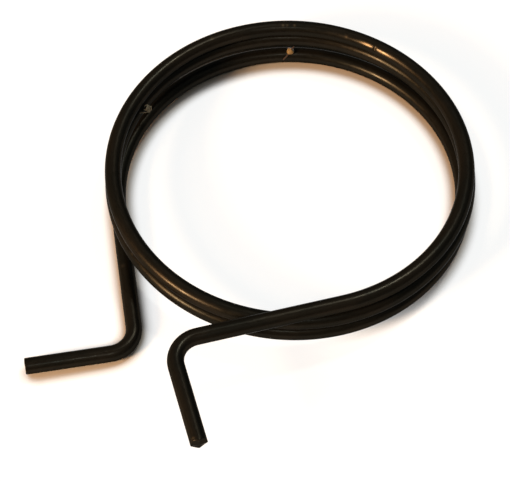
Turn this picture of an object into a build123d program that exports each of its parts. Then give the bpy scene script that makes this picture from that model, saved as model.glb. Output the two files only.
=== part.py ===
from build123d import *
from math import cos, degrees, pi, radians, sin
import os

# A torsion spring of round oil-blackened steel wire, lying flat on its coil.
# Millimetres. +Z is the coil axis, and the origin is on that axis at the height
# where the wire's centreline enters the first (lowest) turn.
# Seen from above the wire climbs clockwise from the lower leg to the upper leg.

# the wire
wire_diameter = 2.5
end_break = 0.2

# the coil: radius to the centre of the wire at both ends of the winding,
# and how much the middle turn swells beyond it
coil_radius = 27.0
middle_swell = 0.58
turns = 2.73
coil_start_angle = 191.8

# free gap between neighbouring turns, measured along the axis:
# it is open at the lower leg and closes evenly until gap_closed_after turns
first_gap = 2.13
closed_gap = 0.08
gap_closed_after = 1.91

# the lower leg: a straight run off the coil, a bend to the right, a short end
lower_run = 20.9
lower_bend = 88.5
lower_bend_radius = 4.0
lower_end = 12.8

# the upper leg crosses over the coil, then bends to the left
upper_run = 21.9
upper_bend = 90.5
upper_bend_radius = 4.0
upper_end = 12.6

# points that carry the coil's curve, per turn
points_per_turn = 24


def rise(turn):
    """Height of the centreline after some turns: the closed pitch, plus the
    first gap's excess, which fades to nothing at gap_closed_after."""
    fading = min(turn, gap_closed_after)
    excess = (first_gap - closed_gap) * (fading - fading**2 / (2 * gap_closed_after))
    return (wire_diameter + closed_gap) * turn + excess


def coil_point(turn):
    """Point of the wire's centreline after some turns from the lower leg."""
    angle = radians(coil_start_angle) - 2 * pi * turn
    radius = coil_radius + middle_swell * sin(pi * turn / turns)
    return Vector(radius * cos(angle), radius * sin(angle), rise(turn))


def coil_travel(turn):
    """How far and which way the centreline's point moves, per turn."""
    small = 1e-5
    return (coil_point(turn + small) - coil_point(turn - small)) / (2 * small)


def bent_leg(start, direction, run, bend_radius, bend, end, side):
    """Line, arc and line that carry on from start along direction.
    side is +1 for a bend to the left seen from above, -1 for one to the right."""
    bend_axis = (Vector(0, 0, 1) - direction * direction.Z).normalized()
    inward = bend_axis.cross(direction) * side
    bend_start = start + direction * run
    centre = bend_start + inward * bend_radius
    turned = Axis((0, 0, 0), bend_axis)
    arc_end = centre - inward.rotate(turned, side * bend) * bend_radius
    end_direction = direction.rotate(turned, side * bend)
    tip = arc_end + end_direction * end
    straight = Edge.make_line(start, bend_start)
    arc = Edge.make_tangent_arc(bend_start, direction, arc_end)
    last = Edge.make_line(arc_end, tip)
    return [straight, arc, last], tip, end_direction


# the centreline, from the tip of the lower leg to the tip of the upper leg
steps = round(turns * points_per_turn)
stations = [turns * step / steps for step in range(steps + 1)]
coil_points = [coil_point(station) for station in stations]
into_coil = coil_travel(0)
out_of_coil = coil_travel(turns)
coil_curve = Edge.make_spline(
    coil_points, tangents=[into_coil, out_of_coil], parameters=stations, scale=False
)

lower_edges, lower_tip, lower_direction = bent_leg(
    coil_points[0], -into_coil.normalized(), lower_run, lower_bend_radius, lower_bend, lower_end, -1
)
upper_edges, upper_tip, upper_direction = bent_leg(
    coil_points[-1], out_of_coil.normalized(), upper_run, upper_bend_radius, upper_bend, upper_end, 1
)
centreline = Wire(lower_edges + [coil_curve] + upper_edges)

# the wire itself: one round section carried along the centreline
section = Plane(origin=lower_tip, z_dir=-lower_direction) * Circle(wire_diameter / 2)
spring_wire = sweep(section, path=centreline)

# the cropped ends have their sharp edge taken off
tip_edges = spring_wire.edges().filter_by(GeomType.CIRCLE)
tip_edges = [
    edge
    for edge in tip_edges
    if min((edge.arc_center - lower_tip).length, (edge.arc_center - upper_tip).length) < end_break
]
spring_wire = chamfer(tip_edges, end_break)

spring_wire.label = "spring_wire"
os.makedirs("parts", exist_ok=True)
export_step(spring_wire, "parts/spring_wire.step")
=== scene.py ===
import math

import bmesh
import bpy
import numpy as np
from mathutils import Matrix


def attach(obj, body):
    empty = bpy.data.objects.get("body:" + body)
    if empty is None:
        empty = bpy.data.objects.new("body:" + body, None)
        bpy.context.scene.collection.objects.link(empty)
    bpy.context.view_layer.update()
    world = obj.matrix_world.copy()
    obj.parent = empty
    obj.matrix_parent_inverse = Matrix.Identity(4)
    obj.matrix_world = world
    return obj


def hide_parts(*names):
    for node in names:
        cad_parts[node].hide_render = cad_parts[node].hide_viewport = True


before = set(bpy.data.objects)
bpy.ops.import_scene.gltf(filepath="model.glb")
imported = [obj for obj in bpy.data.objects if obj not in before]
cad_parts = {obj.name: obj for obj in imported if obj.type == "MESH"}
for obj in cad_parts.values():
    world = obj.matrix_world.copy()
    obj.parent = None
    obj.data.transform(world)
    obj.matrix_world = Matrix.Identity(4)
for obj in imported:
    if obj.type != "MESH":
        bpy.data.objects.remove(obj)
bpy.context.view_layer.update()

# The spring is one length of round spring-steel wire, drawn through a die, blackened in hot oil
# and wound cold: a short lower leg, 2.73 turns climbing clockwise, and an upper leg that crosses
# over the coil. Here is the line that the middle of the wire follows, in metres.
wire_radius = 0.00125
coil_radius = 0.027
middle_swell = 0.00058
turns = 2.73
coil_start_angle = math.radians(191.8)
first_gap = 0.00213
closed_gap = 0.00008
gap_closed_after = 1.91
lower_leg = dict(run=0.0209, bend=math.radians(88.5), bend_radius=0.004, end=0.0128, side=-1)
upper_leg = dict(run=0.0219, bend=math.radians(90.5), bend_radius=0.004, end=0.0126, side=1)


def coil_line(turn):
    """The coil: a circle walked clockwise, a little wider in the middle turns, that rises one wire
    and one gap each turn. The first gap is open and fades in a straight line to a closed one."""
    angle = coil_start_angle - 2 * np.pi * turn
    radius = coil_radius + middle_swell * np.sin(np.pi * turn / turns)
    fading = np.minimum(turn, gap_closed_after)
    excess = (first_gap - closed_gap) * (fading - fading**2 / (2 * gap_closed_after))
    rise = (2 * wire_radius + closed_gap) * turn + excess
    return np.stack([radius * np.cos(angle), radius * np.sin(angle), rise], -1)


def leg_line(start, heading, far, run, bend, bend_radius, end, side):
    """A leg: straight along heading for run, then round a bend, then straight to the tip.
    far is the distance from the coil; the turned angle is the length of arc over its radius,
    held between none and the whole bend."""
    upright = np.array([0.0, 0.0, 1.0]) - heading * heading[2]
    inward = np.cross(upright / np.linalg.norm(upright), heading) * side
    turned = np.clip((far - run) / bend_radius, 0, bend)[:, None]
    first = np.minimum(far, run)[:, None]
    last = np.maximum(far - run - bend_radius * bend, 0)[:, None]
    ahead = first + bend_radius * np.sin(turned) + last * np.cos(turned)
    across = bend_radius * (1 - np.cos(turned)) + last * np.sin(turned)
    return start + heading * ahead + inward * across


def leg_length(leg):
    """Length of a leg: its run, plus the bend's angle times its radius, plus its end."""
    return leg["run"] + leg["bend_radius"] * leg["bend"] + leg["end"]


# Finely spaced points along the three stretches, joined into one line from the lower tip to the
# upper tip, and the distance walked at each of them.
fine_turns = np.linspace(0, turns, 12001)
coil_points = coil_line(fine_turns)
into_coil = coil_points[1] - coil_points[0]
into_coil /= np.linalg.norm(into_coil)
out_of_coil = coil_points[-1] - coil_points[-2]
out_of_coil /= np.linalg.norm(out_of_coil)
lower_far = np.linspace(leg_length(lower_leg), 0, 1200, endpoint=False)
upper_far = np.linspace(leg_length(upper_leg), 0, 1200, endpoint=False)[::-1]
wire_line = np.concatenate(
    [
        leg_line(coil_points[0], -into_coil, lower_far, **lower_leg),
        coil_points,
        leg_line(coil_points[-1], out_of_coil, upper_far, **upper_leg),
    ]
)
walked = np.append(0, np.cumsum(np.linalg.norm(np.diff(wire_line, axis=0), axis=1)))
wire_length = walked[-1]
coil_begins = leg_length(lower_leg)
coil_ends = wire_length - leg_length(upper_leg)


def along_coil(turn):
    """Distance along the wire at which a given turn of the coil is reached."""
    return coil_begins + (coil_ends - coil_begins) * turn / turns


# The wire's skin is not a perfect cylinder. Its cropped ends have a rolled edge and a slanting
# broken face with the flats of the cutters, the bends are squeezed a little oval by the forming
# pins, and tools and other parts have left dents and rubbed the black off here and there.
end_roll = 0.00014
crop_slant = 0.00007
crop_flats = (0.00004, 0.00026)
flats_reach = 0.0013
bend_squeeze = 0.000028
ring_step = 0.00036
around = 48
# each mark: place along the wire, angle round it, half length, half angle, depth, how far rubbed
marks = np.array(
    [
        # the pinched notch on the inside of the top turn, far right, and the rubs beside it
        [along_coil(2.3655), 0.58, 0.00026, 0.36, 0.00009, 0.0],
        [along_coil(2.3560), 0.76, 0.00095, 0.14, 0.00001, 0.75],
        [along_coil(2.3760), 0.56, 0.00130, 0.13, 0.00001, 0.65],
        # small knocks on the top turn, the far side and both legs
        [along_coil(2.334), 0.85, 0.00030, 0.20, 0.00002, 0.20],
        [along_coil(2.202), 1.44, 0.00030, 0.20, 0.00002, 0.15],
        [along_coil(2.2720), 1.24, 0.00018, 0.14, 0.00001, 0.50],
        [along_coil(2.2760), 1.20, 0.00016, 0.14, 0.00001, 0.35],
        [along_coil(2.2830), 1.24, 0.00018, 0.14, 0.00001, 0.50],
        [along_coil(1.72), 2.60, 0.00030, 0.35, 0.00004, 0.0],
        [along_coil(0.93), 2.20, 0.00045, 0.30, 0.00004, 0.0],
        [0.0292, 2.02, 0.00026, 0.22, 0.00003, 0.16],
        [0.0125, 1.30, 0.00040, 0.40, 0.00003, 0.0],
        [wire_length - 0.0005, 0.95, 0.00022, 0.20, 0.00003, 0.30],
        [wire_length - 0.0290, 1.90, 0.00060, 0.25, 0.00002, 0.0],
    ]
)
# where each leg's bend begins and ends, as distances along the wire
bends = [
    [lower_leg["end"], leg_length(lower_leg) - lower_leg["run"]],
    [coil_ends + upper_leg["run"], wire_length - upper_leg["end"]],
]


def wire_stations():
    """Distances along the wire at which its rings stand: even steps, with closer rings at the
    marks, between the two rolled ends."""
    near = marks[:, :1] + marks[:, 2:3] * np.linspace(-2.2, 2.2, 23)
    near = near.ravel()
    even = np.linspace(end_roll, wire_length - end_roll, round(wire_length / ring_step))
    apart = np.abs(even[:, None] - near).min(1) > ring_step / 3
    inside = near[(near > end_roll + 1e-5) & (near < wire_length - end_roll - 1e-5)]
    places = np.unique(np.concatenate([even[apart], inside, even[[0, -1]]]))
    return places[np.append(True, np.diff(places) > 4e-6)]


def bell(station, angle, mark):
    """How strongly a mark is felt at a place on the wire: one at its middle, fading as a bell
    with distance along and with angle round."""
    place, turned, half_long, half_round = mark[:4]
    off = (angle - turned + np.pi) % (2 * np.pi) - np.pi
    return np.exp(-(((station - place) / half_long) ** 2) - (off / half_round) ** 2)


def wire_skin(station, angle):
    """Radius of the skin: the wire's own radius, less a squeeze of the second harmonic that swells
    and fades with a squared sine through each bend, less a dip at each mark."""
    radius = np.full(np.broadcast(station, angle).shape, wire_radius)
    for begin, end in bends:
        through = np.clip((station - begin + 0.0006) / (end - begin + 0.0012), 0, 1)
        squeezed = np.sin(np.pi * through) ** 2 * (1 + np.cos(2 * angle)) / 2
        radius = radius - bend_squeeze * squeezed
    for mark in marks:
        radius = radius - mark[4] * bell(station, angle, mark)
    return radius


def wire_rubs(station, angle):
    """How far the black is rubbed off, from none to one, the marks added together."""
    return np.minimum(1, sum(mark[5] * bell(station, angle, mark) for mark in marks))


def wire_surface():
    """The skin as rings along the line. Each ring lies in the plane square to the line: its place is
    the line's point plus radius times (cosine of the angle across + sine of the angle upwards).
    At both tips the rings roll over a quarter circle and close across a broken face to a pole."""
    roll = np.linspace(0, np.pi / 2, 5)[:-1]
    face = np.array([0.2, 0.42, 0.62, 0.8])
    rim = 1 - end_roll / wire_radius
    fullness = np.concatenate([face * rim, rim + (1 - rim) * np.sin(roll)])
    inset = np.concatenate([0 * face, end_roll * (1 - np.cos(roll))])
    body = wire_stations()
    station = np.concatenate([inset, body, wire_length - inset[::-1]])
    full = np.concatenate([fullness, np.ones(len(body)), fullness[::-1]])
    direction = np.gradient(wire_line, walked, axis=0)
    place = np.stack([np.interp(station, walked, axis) for axis in wire_line.T], 1)
    ahead = np.stack([np.interp(station, walked, axis) for axis in direction.T], 1)
    ahead /= np.linalg.norm(ahead, axis=1)[:, None]
    across = np.cross(ahead, [0.0, 0.0, 1.0])
    across /= np.linalg.norm(across, axis=1)[:, None]
    upwards = np.cross(across, ahead)
    angle = np.linspace(0, 2 * np.pi, around, endpoint=False)
    radius = wire_skin(station[:, None], angle) * full[:, None]
    outwards = across[:, None] * np.cos(angle)[:, None] + upwards[:, None] * np.sin(angle)[:, None]
    # the flats draw the rim back between the top, the bottom and the sides; the broken face leans
    lower_half = station < wire_length / 2
    from_tip = np.minimum(station, wire_length - station)
    flats = np.where(lower_half, *crop_flats) * np.clip(1 - from_tip / flats_reach, 0, 1) ** 1.5
    back = (flats * full**2)[:, None] * np.abs(np.sin(2 * angle))
    on_face = np.where(from_tip < end_roll * 0.999, np.minimum(1, 2.2 * (1 - full)), 0.0)
    uneven = 0.6 + np.sin(angle + 0.8) + 0.22 * np.sin(3 * angle + 1.7)
    back = back + crop_slant * (on_face * full)[:, None] * uneven
    inward = np.where(lower_half, 1.0, -1.0)[:, None] * back
    points = place[:, None] + outwards * radius[..., None] + ahead[:, None] * inward[..., None]
    spread = np.broadcast_arrays(station[:, None], radius * np.cos(angle), radius * np.sin(angle))
    return points, np.stack(spread, -1), wire_rubs(station[:, None], angle)


def closed_tube_mesh(name, points, poles, extra):
    """A mesh of quads between neighbouring rings, with a fan of triangles from each pole.
    extra is a vector kept at each point as the attribute own_place."""
    rings, columns = points.shape[:2]
    number = np.arange(rings * columns).reshape(rings, columns)
    beside = np.roll(number, -1, axis=1)
    quads = np.stack([number[:-1], beside[:-1], beside[1:], number[1:]], -1).reshape(-1, 4)
    first_pole, last_pole = rings * columns, rings * columns + 1
    first_fan = np.stack([np.full(columns, first_pole), beside[0], number[0]], -1)
    last_fan = np.stack([np.full(columns, last_pole), number[-1], beside[-1]], -1)
    mesh = bpy.data.meshes.new(name)
    places = np.concatenate([points.reshape(-1, 3), poles])
    mesh.from_pydata(places, [], quads.tolist() + first_fan.tolist() + last_fan.tolist())
    held = mesh.attributes.new("own_place", "FLOAT_VECTOR", "POINT")
    held.data.foreach_set("vector", extra.astype(np.float32).ravel())
    mesh.shade_smooth()
    return mesh


skin_points, skin_place, skin_rubs = wire_surface()
poles = np.stack([wire_line[0], wire_line[-1]])
pole_place = np.array([[0, 0, 0], [wire_length, 0, 0]])
wire_mesh = closed_tube_mesh(
    "spring_steel_wire", skin_points, poles, np.concatenate([skin_place.reshape(-1, 3), pole_place])
)
rubbed = wire_mesh.attributes.new("rubbed", "FLOAT", "POINT")
rubbed.data.foreach_set("value", np.append(skin_rubs.ravel(), [0, 0]).astype(np.float32))

# The flat map of the wire's skin lays its length in rows, one above another, as a long strip
# of label would be cut and stacked, so that every row has the same scale both ways.
map_rows = 8


def strip_map(mesh, columns):
    """Each corner's place on the map: how far along its row, and its row plus the share of the way
    round. A face lies wholly in the row that its middle is in."""
    corners = np.zeros(len(mesh.loops), np.int64)
    mesh.loops.foreach_get("vertex_index", corners)
    starts = np.zeros(len(mesh.polygons), np.int64)
    mesh.polygons.foreach_get("loop_start", starts)
    count = np.diff(np.append(starts, len(corners)))
    face = np.repeat(np.arange(len(starts)), count)
    steps = np.linalg.norm(np.diff(skin_points[:, 0], axis=0), axis=1)
    reach = np.append(0, np.cumsum(steps)) + wire_radius
    reach = np.concatenate([np.repeat(reach, columns), [0, reach[-1] + wire_radius]])
    share = np.concatenate([np.tile(np.arange(columns) / columns, len(skin_points)), [0.5, 0.5]])
    along, turned = reach[corners], share[corners]
    wraps = np.maximum.reduceat(turned, starts)[face] - turned > 0.6
    turned = turned + wraps
    middle = (np.add.reduceat(along, starts) / count)[face]
    row_length = reach.max() / map_rows
    row = np.minimum(np.floor(middle / row_length), map_rows - 1)
    u = 0.01 + 0.98 * (along / row_length - row)
    v = (row + 0.05 + 0.9 * turned) / map_rows
    return np.stack([u, v], -1)


bake_map = wire_mesh.uv_layers.new(name="OFBake")
bake_map.uv.foreach_set("vector", strip_map(wire_mesh, around).astype(np.float32).ravel())


def new_material(name):
    """An empty node material: its nodes, its links and its output."""
    material = bpy.data.materials.new(name)
    material.use_nodes = True
    tree = material.node_tree
    tree.nodes.clear()
    return material, tree, tree.nodes.new("ShaderNodeOutputMaterial")


def grain(tree, place, stretch, scale, detail, roughness):
    """Noise whose lumps are stretched by the three factors of stretch; scale is lumps per metre."""
    mapping = tree.nodes.new("ShaderNodeMapping")
    mapping.inputs["Scale"].default_value = stretch
    tree.links.new(place, mapping.inputs["Vector"])
    noise = tree.nodes.new("ShaderNodeTexNoise")
    noise.inputs["Scale"].default_value = scale
    noise.inputs["Detail"].default_value = detail
    noise.inputs["Roughness"].default_value = roughness
    tree.links.new(mapping.outputs["Vector"], noise.inputs["Vector"])
    return noise.outputs["Fac"]


def remapped(tree, value, low, high, new_low, new_high):
    """value brought from low..high to new_low..new_high, held inside it."""
    node = tree.nodes.new("ShaderNodeMapRange")
    node.interpolation_type = "SMOOTHSTEP"
    node.inputs["From Min"].default_value = low
    node.inputs["From Max"].default_value = high
    node.inputs["To Min"].default_value = new_low
    node.inputs["To Max"].default_value = new_high
    tree.links.new(value, node.inputs["Value"])
    return node.outputs["Result"]


def mixed(tree, amount, first, second):
    """A colour between first and second; each is a colour or a socket."""
    node = tree.nodes.new("ShaderNodeMix")
    node.data_type = "RGBA"
    tree.links.new(amount, node.inputs["Factor"])
    for socket, colour in ((node.inputs["A"], first), (node.inputs["B"], second)):
        if isinstance(colour, tuple):
            socket.default_value = (*colour, 1)
        else:
            tree.links.new(colour, socket)
    return node.outputs["Result"]


# The finish is the oil-blackened skin of tempered wire: black oxide with bronze clouds, faint die
# lines that hold dry oil, small pores, and bare steel where the black is rubbed through. The oil
# film scatters part of the light, so the skin is not wholly metallic.
oxide_black = (0.0126, 0.0117, 0.0092)
oxide_bronze = (0.0170, 0.0142, 0.0105)
dry_oil = (0.0162, 0.0119, 0.0076)
bare_steel = (0.150, 0.108, 0.065)
cloud_edges = (0.38, 0.62)
oiled_line_edges = (0.50, 0.72)
oiled_line_share = 0.6
pore_edges = (0.3, 0.7)
metal_share = 0.7
skin_roughness = (0.25, 0.35)
die_line_depth = 0.00002
pore_depth = 0.00001
steel, tree, out = new_material("oil_blackened_spring_steel")
shader = tree.nodes.new("ShaderNodeBsdfPrincipled")
tree.links.new(shader.outputs["BSDF"], out.inputs["Surface"])
place = tree.nodes.new("ShaderNodeAttribute")
place.attribute_name = "own_place"
place = place.outputs["Vector"]
die_lines = grain(tree, place, (0.012, 1.0, 1.0), 4200.0, 3.0, 0.6)
clouds = grain(tree, place, (0.35, 1.0, 1.0), 420.0, 4.0, 0.55)
pores = grain(tree, place, (0.25, 1.0, 1.0), 3600.0, 2.0, 0.5)
worn = tree.nodes.new("ShaderNodeAttribute")
worn.attribute_name = "rubbed"
clouded = remapped(tree, clouds, *cloud_edges, 0.0, 1.0)
bronze = mixed(tree, clouded, oxide_black, oxide_bronze)
oiled = remapped(tree, die_lines, *oiled_line_edges, 0.0, oiled_line_share)
streaked = mixed(tree, oiled, bronze, dry_oil)
tree.links.new(mixed(tree, worn.outputs["Fac"], streaked, bare_steel), shader.inputs["Base Color"])
shader.inputs["Metallic"].default_value = metal_share
shader.inputs["Specular IOR Level"].default_value = 0.0
shader.inputs["Specular Tint"].default_value = (0.5, 0.5, 0.5, 1)
roughened = remapped(tree, pores, *pore_edges, *skin_roughness)
tree.links.new(roughened, shader.inputs["Roughness"])
lines_bump = tree.nodes.new("ShaderNodeBump")
lines_bump.inputs["Strength"].default_value = 0.25
lines_bump.inputs["Distance"].default_value = die_line_depth
tree.links.new(die_lines, lines_bump.inputs["Height"])
pores_bump = tree.nodes.new("ShaderNodeBump")
pores_bump.inputs["Strength"].default_value = 0.10
pores_bump.inputs["Distance"].default_value = pore_depth
tree.links.new(pores, pores_bump.inputs["Height"])
tree.links.new(lines_bump.outputs["Normal"], pores_bump.inputs["Normal"])
tree.links.new(pores_bump.outputs["Normal"], shader.inputs["Normal"])

wire = bpy.data.objects.new("spring_steel_wire", wire_mesh)
bpy.context.collection.objects.link(wire)
wire_mesh.materials.append(steel)
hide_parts("spring_wire")
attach(wire, "root")

# Two bits of dust cling to the far side of the coil, as on any oily spring: a tuft of pale fluff,
# one fibre wound into a ball with a loose end, and a golden-brown crumb of grit held by a hair.
def near_wire(distance, angle, lift):
    """The point that stands lift above the skin, at a distance along the wire and an angle."""
    middle = np.array([np.interp(distance, walked, axis) for axis in wire_line.T])
    soon = np.array([np.interp(distance + 0.0001, walked, axis) for axis in wire_line.T])
    ahead = (soon - middle) / np.linalg.norm(soon - middle)
    across = np.cross(ahead, [0.0, 0.0, 1.0])
    across /= np.linalg.norm(across)
    outward = across * math.cos(angle) + np.cross(across, ahead) * math.sin(angle)
    return middle + outward * (wire_radius + lift)


def fibre_mesh(name, line, thickness, columns=8):
    """A round fibre along a line of points, thin at both ends. Each ring's side is the last one's,
    with what points ahead taken out of it, so that the rings never twist."""
    ahead = np.gradient(line, axis=0)
    ahead /= np.linalg.norm(ahead, axis=1)[:, None]
    side = np.array([0.3, 0.2, 0.9])
    sides = []
    for direction in ahead:
        side = side - direction * (side @ direction)
        side = side / np.linalg.norm(side)
        sides.append(side)
    across = np.array(sides)
    upwards = np.cross(across, ahead)
    share = np.linspace(0, 1, len(line))
    radius = thickness / 2 * np.minimum(1, 0.35 + 9 * np.minimum(share, 1 - share))
    angle = np.linspace(0, 2 * np.pi, columns, endpoint=False)
    ring = across[:, None] * np.cos(angle)[:, None] + upwards[:, None] * np.sin(angle)[:, None]
    rings = line[:, None] + ring * radius[:, None, None]
    poles = np.stack([line[0] - ahead[0] * radius[0] / 2, line[-1] + ahead[-1] * radius[-1] / 2])
    return closed_tube_mesh(name, rings, poles, np.concatenate([rings.reshape(-1, 3), poles]))


def wound_ball(centre, size, points):
    """A fibre wound into a ball: a direction that sweeps round two ways at unlike speeds, at a
    distance that swings between a quarter of size and the whole of it."""
    share = np.linspace(0, 1, points)
    tipped, swung = 2 * np.pi * 8.3 * share, 2 * np.pi * 5.7 * share + 1.0
    sweep = [np.sin(tipped) * np.cos(swung), np.sin(tipped) * np.sin(swung), np.cos(tipped)]
    reach = size * (0.62 + 0.38 * np.sin(2 * np.pi * 7.1 * share))
    return centre + np.stack(sweep, 1) * reach[:, None]


def loose_end(start, middle, end, points):
    """A bent end: the curve that leaves start towards middle and comes to end from it."""
    share = np.linspace(0, 1, points)[1:, None]
    return start * (1 - share) ** 2 + middle * 2 * share * (1 - share) + end * share**2


def crumb_mesh(name, centre, size):
    """A lumpy crumb: a ball whose radius swells and dips with a few waves of its direction."""
    mesh = bpy.data.meshes.new(name)
    shape = bmesh.new()
    bmesh.ops.create_icosphere(shape, subdivisions=4, radius=1.0)
    shape.to_mesh(mesh)
    shape.free()
    places = np.zeros(len(mesh.vertices) * 3)
    mesh.vertices.foreach_get("co", places)
    x, y, z = places.reshape(-1, 3).T
    lumps = 1 + 0.10 * np.sin(3.1 * x + 0.7) * np.cos(2.7 * y) + 0.06 * np.sin(5.3 * z + 2.1 * x)
    shaped = centre + np.stack([x, 0.9 * y, 0.85 * z], 1) * (size * lumps)[:, None]
    mesh.vertices.foreach_set("co", shaped.ravel())
    mesh.shade_smooth()
    return mesh


def cling(name, mesh, material):
    """A bit of dust as a piece of its own that goes where the spring goes."""
    mesh.materials.append(material)
    piece = bpy.data.objects.new(name, mesh)
    bpy.context.collection.objects.link(piece)
    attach(piece, "root")


def dust_material(name, pale, dark, roughness, gloss):
    """Dust of two shades mottled together, with its own roughness and gloss."""
    material, tree, out = new_material(name)
    shader = tree.nodes.new("ShaderNodeBsdfPrincipled")
    tree.links.new(shader.outputs["BSDF"], out.inputs["Surface"])
    held = tree.nodes.new("ShaderNodeAttribute")
    held.attribute_name = "own_place"
    mottle = grain(tree, held.outputs["Vector"], (1.0, 1.0, 1.0), 5200.0, 2.0, 0.6)
    tree.links.new(mixed(tree, mottle, dark, pale), shader.inputs["Base Color"])
    shader.inputs["Roughness"].default_value = roughness
    shader.inputs["Specular IOR Level"].default_value = gloss
    return material


fluff_pale = (0.500, 0.388, 0.255)
fluff_dark = (0.188, 0.140, 0.090)
fluff_size = 0.00070
fluff_fibre = 0.00011
fluff = dust_material("pale_fluff", fluff_pale, fluff_dark, 0.9, 0.12)
ball = wound_ball(near_wire(0.22954, 0.23, 0.0005), fluff_size, 520)
tail = loose_end(ball[-1], near_wire(0.22856, 0.24, 0.0003), near_wire(0.22776, 0.68, 0.0002), 40)
cling("fluff_tuft", fibre_mesh("fluff_tuft", np.concatenate([ball, tail]), fluff_fibre), fluff)

grit_pale = (0.300, 0.190, 0.075)
grit_dark = (0.112, 0.065, 0.022)
grit_size = 0.00064
grit = dust_material("golden_grit", grit_pale, grit_dark, 0.38, 0.35)
crumb = near_wire(0.08697, 1.254, 0.00028)
cling("grit_crumb", crumb_mesh("grit_crumb", crumb, grit_size), grit)

hair_pale = (0.050, 0.032, 0.025)
hair_dark = (0.025, 0.015, 0.012)
hair_thickness = 0.00030
hair = dust_material("brown_hair", hair_pale, hair_dark, 0.7, 0.12)
hair_begins = near_wire(0.25989, 6.00, 0.0002)
behind_crumb = crumb + 0.4 * (hair_begins - crumb) + [0.0, 0.0003, -0.0003]
above_crumb = loose_end(hair_begins, behind_crumb, crumb, 20)
on_lower_turn = near_wire(0.08640, 0.645, 0.0002)
below_crumb = loose_end(crumb, on_lower_turn, near_wire(0.08570, 0.204, 0.0001), 30)
hair_line = np.concatenate([above_crumb, below_crumb])
cling("grit_hair", fibre_mesh("grit_hair", hair_line, hair_thickness), hair)

# The bench top is a plain white sheet. The spring leans on it as a real one would, on the lower
# leg's tip and the far and right sides of the bottom turn, so the sheet is tilted to meet them.
# It is painted with shade: beige painted contact shade close to the wire, and a nearly black
# painted shadow in a strip under the coil's far side.
sheet_lean = np.array([-0.045, -0.007, 1.0])
sheet_lean /= np.linalg.norm(sheet_lean)
sheet_half = 3.0


def sheet_mesh():
    """One large square that lies square to sheet_lean and touches the lowest point of the wire."""
    lowest = (skin_points.reshape(-1, 3) @ sheet_lean).min()
    side = np.cross([0.0, 1.0, 0.0], sheet_lean)
    side /= np.linalg.norm(side)
    away = np.cross(sheet_lean, side)
    corners = np.array([[-1, -1], [1, -1], [1, 1], [-1, 1]]) * sheet_half
    places = lowest * sheet_lean + corners[:, :1] * side + corners[:, 1:] * away
    mesh = bpy.data.meshes.new("bench_sheet")
    mesh.from_pydata(places, [], [[0, 1, 2, 3]])
    return mesh


def white_to_camera(tree, strength):
    """strength for rays from the camera and through or off glass and metal, none for others."""
    path = tree.nodes.new("ShaderNodeLightPath")
    total = path.outputs["Is Camera Ray"]
    for name in ("Is Glossy Ray", "Is Transmission Ray"):
        either = tree.nodes.new("ShaderNodeMath")
        either.operation = "MAXIMUM"
        tree.links.new(total, either.inputs[0])
        tree.links.new(path.outputs[name], either.inputs[1])
        total = either.outputs[0]
    scaled = tree.nodes.new("ShaderNodeMath")
    scaled.operation = "MULTIPLY"
    scaled.inputs[1].default_value = strength
    tree.links.new(total, scaled.inputs[0])
    return scaled.outputs[0]


# painted shade on the sheet: beige contact shade within reach of the wire, where the white lift is
# held back
sheet_white = (0.300, 0.297, 0.293)
sheet_painted_contact_shade = (0.375, 0.305, 0.245)
# painted shadow: the near-black colour of the strip under the coil's far side
sheet_deep_shadow = (0.0175, 0.0150, 0.0112)
contact_shade_reach = 0.0026
contact_shade_openness = (0.50, 0.95)
shadow_strip_inside = (0.0268, 0.0272)
shadow_strip_outside = (0.0310, 0.0322)
shadow_strip_ends = (0.0080, 0.0125)
shadow_strip_narrowing = 1.05
white_lift = 0.80


def openness(tree, reach, low, high):
    """How open the sheet is to the sky: 0 where wire within reach shuts it in, 1 in the open."""
    node = tree.nodes.new("ShaderNodeAmbientOcclusion")
    node.samples = 16
    node.inputs["Distance"].default_value = reach
    return remapped(tree, node.outputs["AO"], low, high, 0.0, 1.0)


def multiplied(tree, first, second):
    """first times second."""
    node = tree.nodes.new("ShaderNodeMath")
    node.operation = "MULTIPLY"
    tree.links.new(first, node.inputs[0])
    tree.links.new(second, node.inputs[1])
    return node.outputs[0]


def from_axis(tree, spot, widened):
    """Level distance from the coil's axis, with left and right counted widened times."""
    level = tree.nodes.new("ShaderNodeVectorMath")
    level.operation = "MULTIPLY"
    level.inputs[1].default_value = (widened, 1.0, 0.0)
    tree.links.new(spot, level.inputs[0])
    distance = tree.nodes.new("ShaderNodeVectorMath")
    distance.operation = "LENGTH"
    tree.links.new(level.outputs["Vector"], distance.inputs[0])
    return distance.outputs["Value"]


def free_of_shadow_strip(tree):
    """0 on the strip of sheet under the far side of the coil, painted as shadow for the shade below
    the turns, and 1 elsewhere: inside or outside the strip's two radii, or nearer than its ends."""
    spot = tree.nodes.new("ShaderNodeTexCoord").outputs["Object"]
    parts = tree.nodes.new("ShaderNodeSeparateXYZ")
    tree.links.new(spot, parts.inputs["Vector"])
    begun = remapped(tree, from_axis(tree, spot, 1.0), *shadow_strip_inside, 0.0, 1.0)
    not_over = remapped(tree, from_axis(tree, spot, shadow_strip_narrowing), *shadow_strip_outside, 1.0, 0.0)
    behind = remapped(tree, parts.outputs["Y"], *shadow_strip_ends, 0.0, 1.0)
    strip = multiplied(tree, behind, multiplied(tree, begun, not_over))
    return remapped(tree, strip, 0.0, 1.0, 1.0, 0.0)


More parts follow.
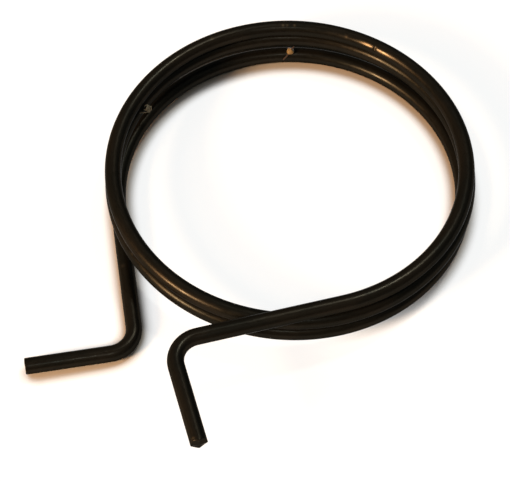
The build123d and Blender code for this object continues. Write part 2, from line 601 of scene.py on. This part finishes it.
paper, tree, out = new_material("white_bench_sheet")
# painted contact shade: near the wire the sheet is coloured beige and loses its white lift
beside = openness(tree, contact_shade_reach, *contact_shade_openness)
# painted shadow: a near-black strip under the coil's far side, also without white lift
clear = free_of_shadow_strip(tree)
sheet_with_contact_shade = mixed(tree, beside, sheet_painted_contact_shade, sheet_white)
matt = tree.nodes.new("ShaderNodeBsdfDiffuse")
tree.links.new(mixed(tree, clear, sheet_deep_shadow, sheet_with_contact_shade), matt.inputs["Color"])
lift = tree.nodes.new("ShaderNodeEmission")
# the white lift is held back wherever painted shade or painted shadow lies on the sheet
lifted = multiplied(tree, white_to_camera(tree, white_lift), multiplied(tree, clear, beside))
tree.links.new(lifted, lift.inputs["Strength"])
both = tree.nodes.new("ShaderNodeAddShader")
tree.links.new(matt.outputs["BSDF"], both.inputs[0])
tree.links.new(lift.outputs["Emission"], both.inputs[1])
tree.links.new(both.outputs["Shader"], out.inputs["Surface"])
bench = bpy.data.objects.new("bench_sheet", sheet_mesh())
bpy.context.collection.objects.link(bench)
bench.data.materials.append(paper)

# A small warm lamp stands low at the front left and gives the long golden lines on the wire, with
# a wide red-brown glow behind it. Two cooler ones high at the back and over the camera draw the
# thin lines on the far side, and the sky fills the rest from above.
sky_colour = (0.87, 0.97, 1.0, 1)
seen_strength = (0.128, 0.256)
lit_strength = (0.028, 0.184)
world = bpy.data.worlds.new("even_sky")
world.use_nodes = True
bpy.context.scene.world = world
tree = world.node_tree
sky = tree.nodes["Background"]
sky.inputs["Color"].default_value = sky_colour
direction = tree.nodes.new("ShaderNodeTexCoord")
parts = tree.nodes.new("ShaderNodeSeparateXYZ")
tree.links.new(direction.outputs["Generated"], parts.inputs["Vector"])
seen_sky = remapped(tree, parts.outputs["Z"], 0.0, 0.9, *seen_strength)
lit_sky = remapped(tree, parts.outputs["Z"], 0.0, 0.9, *lit_strength)
seen = white_to_camera(tree, 1.0)
choice = tree.nodes.new("ShaderNodeMix")
tree.links.new(seen, choice.inputs["Factor"])
tree.links.new(lit_sky, choice.inputs["A"])
tree.links.new(seen_sky, choice.inputs["B"])
tree.links.new(choice.outputs["Result"], sky.inputs["Strength"])


def lamp(name, azimuth, elevation, distance, across, radiance, colour):
    """A round lamp that faces the origin from azimuth (turned from +X) and elevation, in degrees.
    Its power is radiance times its area times pi."""
    a, e = math.radians(azimuth), math.radians(elevation)
    towards = np.array([math.cos(a) * math.cos(e), math.sin(a) * math.cos(e), math.sin(e)])
    light = bpy.data.lights.new(name, "AREA")
    light.shape = "DISK"
    light.size = across
    light.energy = radiance * math.pi * math.pi * (across / 2) ** 2
    light.color = colour
    holder = bpy.data.objects.new(name, light)
    holder.location = towards * distance
    side = np.cross([0.0, 0.0, 1.0], towards)
    side /= np.linalg.norm(side)
    matrix = np.stack([side, np.cross(towards, side), towards], 1)
    holder.rotation_mode = "QUATERNION"
    holder.rotation_quaternion = Matrix(matrix.tolist()).to_quaternion()
    bpy.context.collection.objects.link(holder)


lamp("front_left_lamp", 218, 25, 0.6, 0.12, 160.0, (1.0, 0.76, 0.50))
lamp("left_glow", 213, 27, 1.0, 0.50, 10.4, (1.0, 0.47, 0.16))
lamp("high_back_lamp", 50, 67, 0.8, 0.08, 116.0, (0.93, 1.0, 0.96))
lamp("camera_side_lamp", 277, 59.5, 0.7, 0.10, 17.6, (0.82, 0.94, 1.0))

# The camera stands where the photograph was taken from: in front of the spring and above it, with
# a long lens turned a little, so that the coil's middle is seen right of and above the centre.
picture_width, picture_height = 510, 482
lens_in_pixels = 1614.7
camera_distance = 0.25629
camera_height_angle = 0.95914
camera_roll = -0.05682
coil_seen_at = (288.771, 192.074)


def turned_about(axis, angle):
    """Rotation matrix about a unit axis: identity, plus sine times the cross matrix, plus
    one less the cosine times its square."""
    x, y, z = axis
    cross = np.array([[0, -z, y], [z, 0, -x], [-y, x, 0]])
    return np.eye(3) + math.sin(angle) * cross + (1 - math.cos(angle)) * cross @ cross


def camera_axes():
    """Rows are the camera's right, up and forward in the spring's frame: level and aimed at the
    origin, then rolled, then swung so that the origin is seen where the photograph has it."""
    e = camera_height_angle
    back = np.array([0, -math.cos(e), math.sin(e)])
    level = np.array([[1, 0, 0], [0, math.sin(e), math.cos(e)], -back])
    c, s = math.cos(camera_roll), math.sin(camera_roll)
    rolled = np.array([[c, -s, 0], [s, c, 0], [0, 0, 1]])
    seen = np.array(
        [coil_seen_at[0] - picture_width / 2, picture_height / 2 - coil_seen_at[1], lens_in_pixels]
    )
    seen /= np.linalg.norm(seen)
    axis = np.cross([0, 0, 1], seen)
    swung = turned_about(axis / np.linalg.norm(axis), math.asin(np.linalg.norm(axis)))
    return swung @ rolled @ level, back


axes, back = camera_axes()
eye = bpy.data.cameras.new("camera")
eye.sensor_width = 36.0
eye.lens = lens_in_pixels * eye.sensor_width / picture_width
eye.clip_start, eye.clip_end = 0.01, 20.0
camera = bpy.data.objects.new("camera", eye)
camera.location = back * camera_distance
camera.rotation_mode = "QUATERNION"
facing = np.stack([axes[0], axes[1], -axes[2]], 1)
camera.rotation_quaternion = Matrix(facing.tolist()).to_quaternion()
bpy.context.collection.objects.link(camera)
bpy.context.scene.camera = camera
bpy.context.scene.view_settings.view_transform = "Standard"
